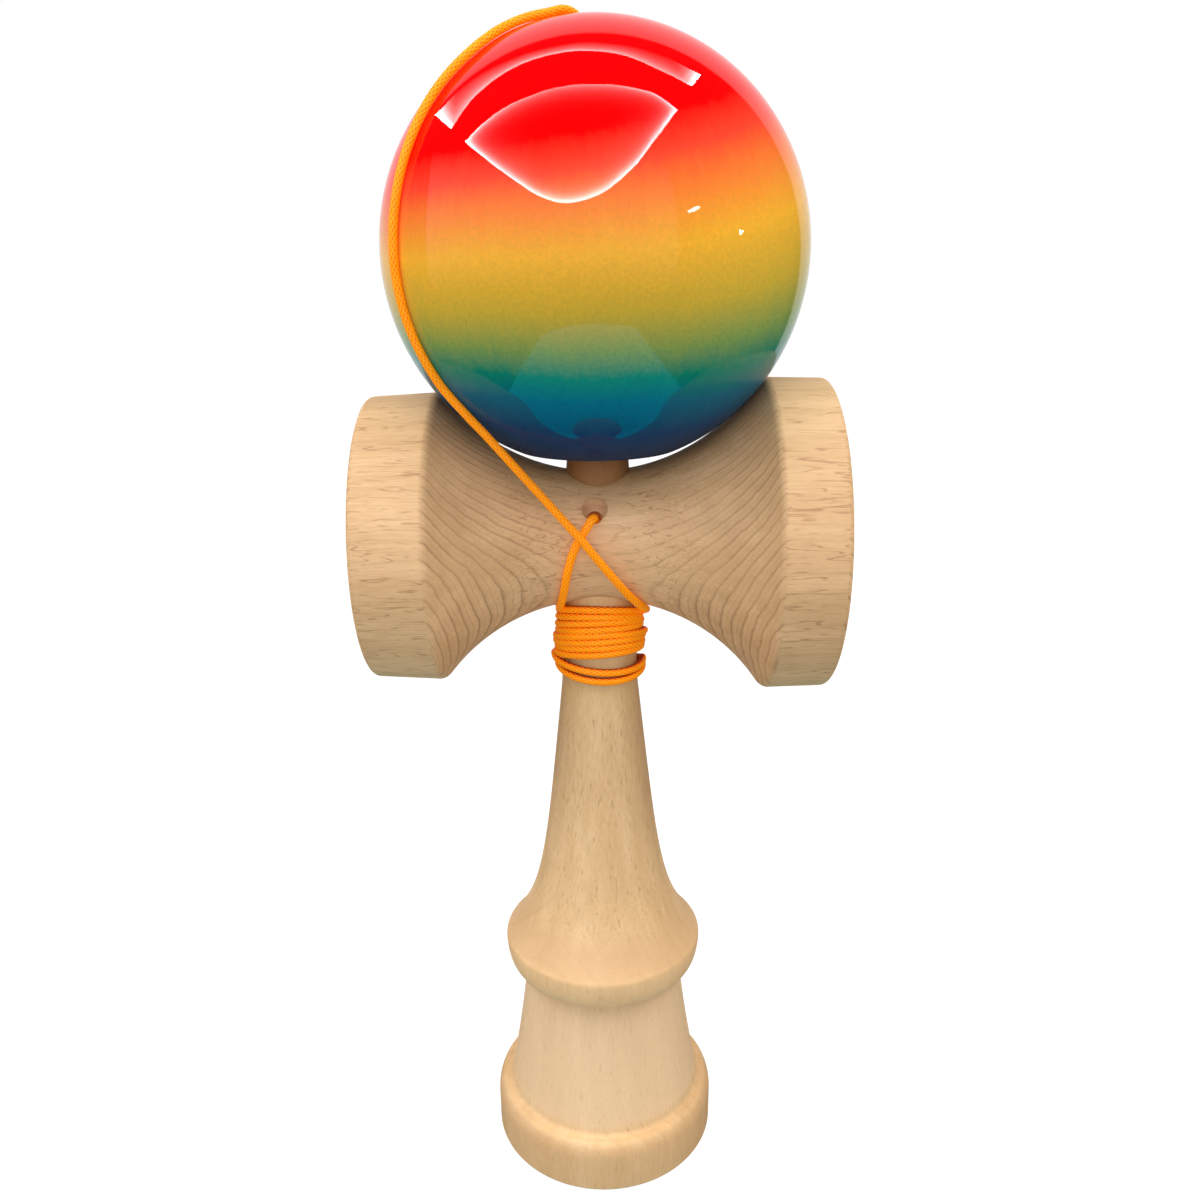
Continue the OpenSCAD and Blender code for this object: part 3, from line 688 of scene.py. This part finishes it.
HANDLE_WOOD = wood(
    "handle_wood", 2, (46, 62, 0), 2.4,
    linear(238, 204, 156), linear(225, 187, 136), linear(208, 168, 118), linear(194, 152, 106),
    linear(164, 112, 64), (0.4, 0.12, 0.42),
    tints=[
        (-1, 0, 8.5, 10, 0.45, linear(204, 160, 112)),  # base ring
        # Paler lower cone: painted light in the shade under the ridge.
        (9.5, 11.5, 32.5, 34.5, 0.55, linear(238, 208, 170)),  # lower cone
        (34, 34.6, 38.6, 40, 0.4, linear(244, 208, 160)),  # ridge
        (39, 40.5, 43, 47, 0.5, linear(206, 164, 118)),  # foot of the grip
        (82, 86, 101, 103, 0.45, linear(226, 192, 132)),  # neck
        # Darker foot of the spike, fading upwards: painted shade under the ball.
        (114, 119, 125, 148, 0.85, linear(138, 84, 32)),  # foot of the spike
    ],
)
SINK_WAY = (0, -math.cos(CROSS_SINK_ANGLE), math.sin(CROSS_SINK_ANGLE))
SINK_SPOT = Vector((CROSS_HOLE_X, 0, CROSS_Z)) + WAIST_R * Vector(SINK_WAY)
CROSS_WOOD = wood(
    "cross_wood", 0, (0, 58, 151), 1.3,
    linear(235, 198, 150), linear(221, 181, 133), linear(203, 161, 114), linear(142, 92, 56),
    linear(156, 102, 60), (0.78, 0.6, 0.42),
    # Darker round the string hole's countersink: partly the wood's own burnished tone, partly painted shade
    # in the hollow.
    dishes=[(SINK_SPOT, 2.1, 0.5, linear(156, 98, 54))],
)
BEAD_WOOD = wood(
    "bead_wood", 2, (20, 9, 0), 1.2,
    linear(150, 104, 62), linear(128, 84, 48), linear(106, 66, 38), linear(90, 56, 32),
    linear(70, 42, 24), (0.4, 0.4, 0.3), rough=0.4,
)
LACQUER = lacquer()
STRING = string_material()


def dress(obj, material, body, slot, *nodes):
    obj.data.materials.clear()
    obj.data.materials.append(material)
    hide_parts(*nodes)
    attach(obj, body)


# The turned pieces
ken = lathe("ken_turned", ken_outline(), 224)
dress(ken, HANDLE_WOOD, "handle", "handle_wood", "ken")

sarado = lathe("sarado_turned", sarado_outline(), 288, along_x=True)
bore_low, bore_high = CROSS_Z - WAIST_R - BORE_PAST, CROSS_Z + WAIST_R + BORE_PAST
bore = rod("bore", shaft_r(bore_low) + SHAFT_FIT, shaft_r(bore_high) + SHAFT_FIT, bore_low, bore_high, 96)
relief_r, relief_h = LOOP_R + STRING_R + STRING_GAP, STRING_R * 2 + STRING_GAP * 2
relief = rod("relief", relief_r, relief_r, LOOP_Z - relief_h / 2, LOOP_Z + relief_h / 2, 64)
drill = rod("drill", CROSS_HOLE_R, CROSS_HOLE_R, DRILL_START, WAIST_R + DRILL_PAST, 48)
sink_r = bowl_r(CROSS_SINK_R, CROSS_SINK_DEPTH)
sink_c = WAIST_R + sink_r - CROSS_SINK_DEPTH
sink_outline = [(0.0, sink_c - sink_r)] + arc(0, sink_c, sink_r, -85, 85, 40) + [(0.0, sink_c + sink_r)]
sink = lathe("sink", sink_outline, 64)
for cutter, angle in ((drill, CROSS_HOLE_ANGLE), (sink, CROSS_SINK_ANGLE)):
    place = Matrix.Translation((CROSS_HOLE_X * MM, 0, CROSS_Z * MM))
    cutter.data.transform(place @ Matrix.Rotation(math.pi / 2 - angle, 4, "X"))
cut(sarado, bore, relief, sink, drill)
dress(sarado, CROSS_WOOD, "handle", "cross_wood", "sarado")

tama = lathe("tama_turned", tama_outline(), 256, closed=True)
dress(tama, LACQUER, "ball", "ball_lacquer", "tama")

bead = lathe("bead_turned", bead_outline(), 64, closed=True)
dress(bead, BEAD_WOOD, "bead", "bead_wood", "tama_bead")

# The string
line = smooth(ROUTE, STRING_STEP)
wound_ends = [int(np.argmin(np.linalg.norm(line - np.array(p), axis=1))) for p in (WINDING[0], WINDING[-1])]
string = braided("string_braid", line, STRING_R, STRING_SIDES, wound_part=wound_ends)
string.data.materials.append(STRING)
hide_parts("string_lead", "string_winding", "string_rise", "string_crown")

turns = np.linspace(0, 2 * np.pi, RING_STEPS, endpoint=False)
loop_line = np.stack([LOOP_R * np.cos(turns), LOOP_R * np.sin(turns), np.full(RING_STEPS, LOOP_Z)], axis=1)
loop = braided("string_loop", loop_line, STRING_R, HIDDEN_SIDES, closed=True)
dress(loop, STRING, "handle", "string", "string_anchor_loop")

knot_line = np.stack(
    [
        KNOT_SPREAD * (np.sin(turns) + 2 * np.sin(2 * turns)),
        KNOT_SPREAD * (np.cos(turns) - 2 * np.cos(2 * turns)),
        KNOT_Z + KNOT_H / 2 - KNOT_RISE * np.sin(3 * turns),
    ],
    axis=1,
)
knot = braided("string_knot", knot_line, STRING_R, HIDDEN_SIDES, closed=True)
dress(knot, STRING, "bead", "string", "string_end_knot")

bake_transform(string)


# Stage
def ray_way(u, v):
    """Direction of the view through a point of the picture."""
    x, y = (u - PICTURE / 2) / FOCAL, (PICTURE / 2 - v) / FOCAL
    a = x * math.cos(ROLL) + y * math.sin(ROLL)
    b = -x * math.sin(ROLL) + y * math.cos(ROLL)
    way = Vector((a, math.cos(PITCH) + b * math.sin(PITCH), -math.sin(PITCH) + b * math.cos(PITCH)))
    return way.normalized()


def mirrored(u, v):
    """Where the ball shows that point of the picture, and the direction in which it mirrors the view."""
    way, off = ray_way(u, v), CAMERA - Vector((0, 0, BALL_Z))
    b = way.dot(off)
    room = b * b - (off.dot(off) - BALL_R**2)
    hit = CAMERA + way * (-b - math.sqrt(max(room, 0)))
    out = (hit - Vector((0, 0, BALL_Z))).normalized()
    return hit, way - out * 2 * way.dot(out)


def glow_material(name, strength, colour):
    material = bpy.data.materials.new(name)
    material.use_nodes = True
    tree = material.node_tree
    tree.nodes.clear()
    glow = tree.nodes.new("ShaderNodeAttribute")
    glow.attribute_name = "glow"
    times = tree.nodes.new("ShaderNodeMath")
    times.operation = "MULTIPLY"
    times.inputs[1].default_value = strength
    light = tree.nodes.new("ShaderNodeEmission")
    light.inputs["Color"].default_value = (*colour, 1)
    out = tree.nodes.new("ShaderNodeOutputMaterial")
    tree.links.new(glow.outputs["Fac"], times.inputs[0])
    tree.links.new(times.outputs[0], light.inputs["Strength"])
    tree.links.new(light.outputs[0], out.inputs["Surface"])
    return material


def panel(name, rows, glow, strength, reach=700.0, colour=(1, 1, 1)):
    """A lit panel, seen only in the ball, whose image there fills rows of picture points.

    glow has each point's share of the light, and reach is the panel's distance from the ball.
    """
    points, faces, shares = [], [], []
    wide = len(rows[0])
    for row, lit in zip(rows, glow):
        for (u, v), share in zip(row, lit):
            hit, way = mirrored(u, v)
            points.append(hit + way * reach)
            shares.append(share)
    for i in range(len(rows) - 1):
        for k in range(wide - 1):
            faces.append((i * wide + k, i * wide + k + 1, (i + 1) * wide + k + 1, (i + 1) * wide + k))
    obj = mesh_object(name, points, faces)
    mark = obj.data.attributes.new("glow", "FLOAT", "POINT")
    mark.data.foreach_set("value", shares)
    obj.data.materials.append(glow_material(name, strength, colour))
    obj.visible_camera = obj.visible_diffuse = obj.visible_shadow = False


def between(a, b, t):
    return (a[0] + (b[0] - a[0]) * t, a[1] + (b[1] - a[1]) * t)


def through(points, spans):
    """Evenly spaced picture points on a smooth line through a few."""
    line = np.array(smooth([(u, v, 0) for u, v in points], 0.5))[:, :2]
    pick = np.linspace(0, len(line) - 1, spans + 1).round().astype(int)
    return [tuple(line[i]) for i in pick]


LAMP_STRENGTH, SPOT_STRENGTH, SHEET_STRENGTH, WALL_STRENGTH = 95, 78, 3.4, 1.8
LAMP_SPANS, LAMP_ROWS, BOX_ROWS, SHEET_SPANS, SHEET_ROWS, WALL_SPANS, WALL_ROWS = 40, 8, 32, 20, 8, 16, 8

# Long lamp over the ball, brightest at its lower edge and its ends
LAMP_LOW = [
    (451, 129), (471, 101), (499, 76.5), (529, 61), (566, 52), (590, 51), (621, 54.5), (658, 69), (692, 86),
]
LAMP_HIGH = [(435, 115), (471, 80), (517, 56.5), (554, 46), (590, 42), (630, 46), (664, 56.5), (701, 75)]
lamp_low, lamp_high = through(LAMP_LOW, LAMP_SPANS), through(LAMP_HIGH, LAMP_SPANS)
ends = [max(math.exp(-i / 0.9), math.exp(-(LAMP_SPANS - i) / 0.9)) for i in range(LAMP_SPANS + 1)]
rows, glow = [], []
for j in range(LAMP_ROWS + 1):
    t = j / LAMP_ROWS
    rows.append([between(a, b, t) for a, b in zip(lamp_low, lamp_high)])
    glow.append([max(0.03 * (1 - t) + 0.16 * math.exp(-t / 0.2), 0.5 * e) for e in ends])
panel("lamp_long", rows, glow, LAMP_STRENGTH)

# Softbox in front of and above the ball, dim in the middle and bright along its edges
BOX_HIGH = [(465, 142), (487, 120), (518, 101), (554, 88), (590, 84), (628, 87), (655, 94), (677, 110)]
BOX_LOW = [
    (465, 142), (491, 163), (519, 183), (545, 199), (566, 203),
    (598, 195), (632, 168), (652, 143), (677, 110),
]
box_high, box_low = through(BOX_HIGH, LAMP_SPANS), through(BOX_LOW, LAMP_SPANS)
rows, glow = [], []
for j in range(BOX_ROWS + 1):
    t = (1 - math.cos(math.pi * j / BOX_ROWS)) / 2
    rows.append([between(a, b, t) for a, b in zip(box_high, box_low)])
    row = []
    for i in range(LAMP_SPANS + 1):
        depth_high = t * (box_low[i][1] - box_high[i][1])
        depth_low = (1 - t) * (box_low[i][1] - box_high[i][1])
        side = abs(2 * i / LAMP_SPANS - 1) ** 3
        high = (0.08 + 0.7 * side) * math.exp(-depth_high / 1.4)
        high += (0.13 + 0.1 * side) * math.exp(-depth_high / 5)
        low = 1.4 * math.exp(-depth_low / 3) + 0.15 * math.exp(-depth_low / 11)
        row.append(min(1.0, high + low))
    glow.append(row)
panel("lamp_box", rows, glow, LAMP_STRENGTH)

# Bright sheet in front of the object
SHEET_HIGH = [(541, 336), (556, 329), (590, 324), (622, 325), (636, 328)]
SHEET_LOW = [(508, 392), (540, 428), (594, 445), (648, 426), (682, 389)]
sheet = list(zip(through(SHEET_HIGH, SHEET_SPANS), through(SHEET_LOW, SHEET_SPANS)))
rows = [[between(a, b, j / SHEET_ROWS) for a, b in sheet] for j in range(SHEET_ROWS + 1)]
glow = [[1.0] * (SHEET_SPANS + 1)] * (SHEET_ROWS + 1)
panel("sheet_front", rows, glow, SHEET_STRENGTH, colour=(0.05, 0.8, 1.0))

# Faint pale wall round the camera
WALL_LEFT = [(433, 150), (428, 196), (426, 240), (430, 290)]
WALL_RIGHT = [(660, 150), (675, 200), (679, 250), (674, 290)]
wall = zip(through(WALL_LEFT, WALL_ROWS), through(WALL_RIGHT, WALL_ROWS))
rows = [[between(a, b, i / WALL_SPANS) for i in range(WALL_SPANS + 1)] for a, b in wall]
glow = [[math.sin(math.pi * j / WALL_ROWS)] * (WALL_SPANS + 1) for j in range(WALL_ROWS + 1)]
panel("wall_front", rows, glow, WALL_STRENGTH, reach=900)

# Two small lamps
SMALL_LAMP = [[(688, 211), (699, 206)], [(689, 214), (700, 209)]]
SPOT_LAMP = [[(739, 230), (743, 230)], [(739, 234), (743, 234)]]
EVENLY_LIT = [[1.0, 1.0], [1.0, 1.0]]
panel("lamp_small", SMALL_LAMP, EVENLY_LIT, LAMP_STRENGTH)
panel("lamp_spot", SPOT_LAMP, EVENLY_LIT, SPOT_STRENGTH)


def plain_shader(tree, kind, colour, strength=None):
    node = tree.nodes.new(kind)
    node.inputs["Color"].default_value = (*colour, 1)
    if strength is not None:
        node.inputs["Strength"].default_value = strength
    return node.outputs[0]


def by_ray(tree, ray, shader, others):
    """Joins two shaders: the first for one kind of ray, the second for all others."""
    path = tree.nodes.new("ShaderNodeLightPath")
    mix = tree.nodes.new("ShaderNodeMixShader")
    tree.links.new(path.outputs[ray], mix.inputs[0])
    tree.links.new(others, mix.inputs[1])
    tree.links.new(shader, mix.inputs[2])
    return mix.outputs[0]


# Plain pale floor, brighter to the camera than in the light that it throws back
FLOOR = 4000
corners = [(-FLOOR, -FLOOR, 0), (FLOOR, -FLOOR, 0), (FLOOR, FLOOR, 0), (-FLOOR, FLOOR, 0)]
floor = mesh_object("floor", corners, [(0, 1, 2, 3)])
floor_material = bpy.data.materials.new("floor")
floor_material.use_nodes = True
tree = floor_material.node_tree
tree.nodes.clear()
pale = tree.nodes.new("ShaderNodeAddShader")
tree.links.new(plain_shader(tree, "ShaderNodeEmission", (1, 1, 1), 0.955), pale.inputs[0])
tree.links.new(plain_shader(tree, "ShaderNodeBsdfDiffuse", (0.16, 0.16, 0.16)), pale.inputs[1])
warm = plain_shader(tree, "ShaderNodeBsdfDiffuse", (0.37, 0.335, 0.31))
out = tree.nodes.new("ShaderNodeOutputMaterial")
tree.links.new(by_ray(tree, "Is Camera Ray", pale.outputs[0], warm), out.inputs["Surface"])
floor.data.materials.append(floor_material)
floor.visible_glossy = False

# Surroundings: white to the camera, an even light on the wood, and white behind and dim in front in the gloss
world = bpy.data.worlds.new("surroundings")
scene.world = world
world.use_nodes = True
tree = world.node_tree
tree.nodes.clear()
place = tree.nodes.new("ShaderNodeTexCoord")
parts = tree.nodes.new("ShaderNodeSeparateXYZ")
tree.links.new(place.outputs["Generated"], parts.inputs[0])
edge = tree.nodes.new("ShaderNodeValToRGB")
edge.color_ramp.elements[0].position = 0.69
edge.color_ramp.elements[0].color = (0.03, 0.03, 0.032, 1)
edge.color_ramp.elements[1].position = 0.72
edge.color_ramp.elements[1].color = (0.95, 0.95, 0.95, 1)
lean = tree.nodes.new("ShaderNodeMath")
lean.operation = "MULTIPLY_ADD"
lean.inputs[1].default_value = 0.17
tree.links.new(parts.outputs["Z"], lean.inputs[0])
tree.links.new(parts.outputs["Y"], lean.inputs[2])
tree.links.new(lean.outputs[0], edge.inputs[0])
mirror = tree.nodes.new("ShaderNodeBackground")
tree.links.new(edge.outputs[0], mirror.inputs["Color"])
even = plain_shader(tree, "ShaderNodeBackground", (1, 0.99, 0.97), 0.42)
light = by_ray(tree, "Is Glossy Ray", mirror.outputs[0], even)
white = plain_shader(tree, "ShaderNodeBackground", (1, 1, 1))
out = tree.nodes.new("ShaderNodeOutputWorld")
tree.links.new(by_ray(tree, "Is Camera Ray", white, light), out.inputs["Surface"])


def area(name, place, target, wide, high, energy, colour=(1, 1, 1)):
    data = bpy.data.lights.new(name, "AREA")
    data.shape = "RECTANGLE"
    data.size, data.size_y = wide, high
    data.energy = energy
    data.color = colour
    obj = bpy.data.objects.new(name, data)
    obj.location = place
    obj.rotation_euler = (Vector(target) - Vector(place)).to_track_quat("-Z", "Y").to_euler()
    obj.visible_camera = False
    obj.visible_glossy = False
    scene.collection.objects.link(obj)


area("light_top", (0.0, -0.3, 0.8), (0, 0, 0.1), 1.6, 0.5, 5.1)
area("light_front", (0.0, -0.9, 0.28), (0, 0, 0.08), 0.9, 0.5, 2.15)
area("light_left", (-0.6, -0.05, 0.75), (0, 0, 0.1), 0.5, 0.5, 2.7)
area("light_right", (0.6, -0.05, 0.75), (0, 0, 0.1), 0.5, 0.5, 2.3)
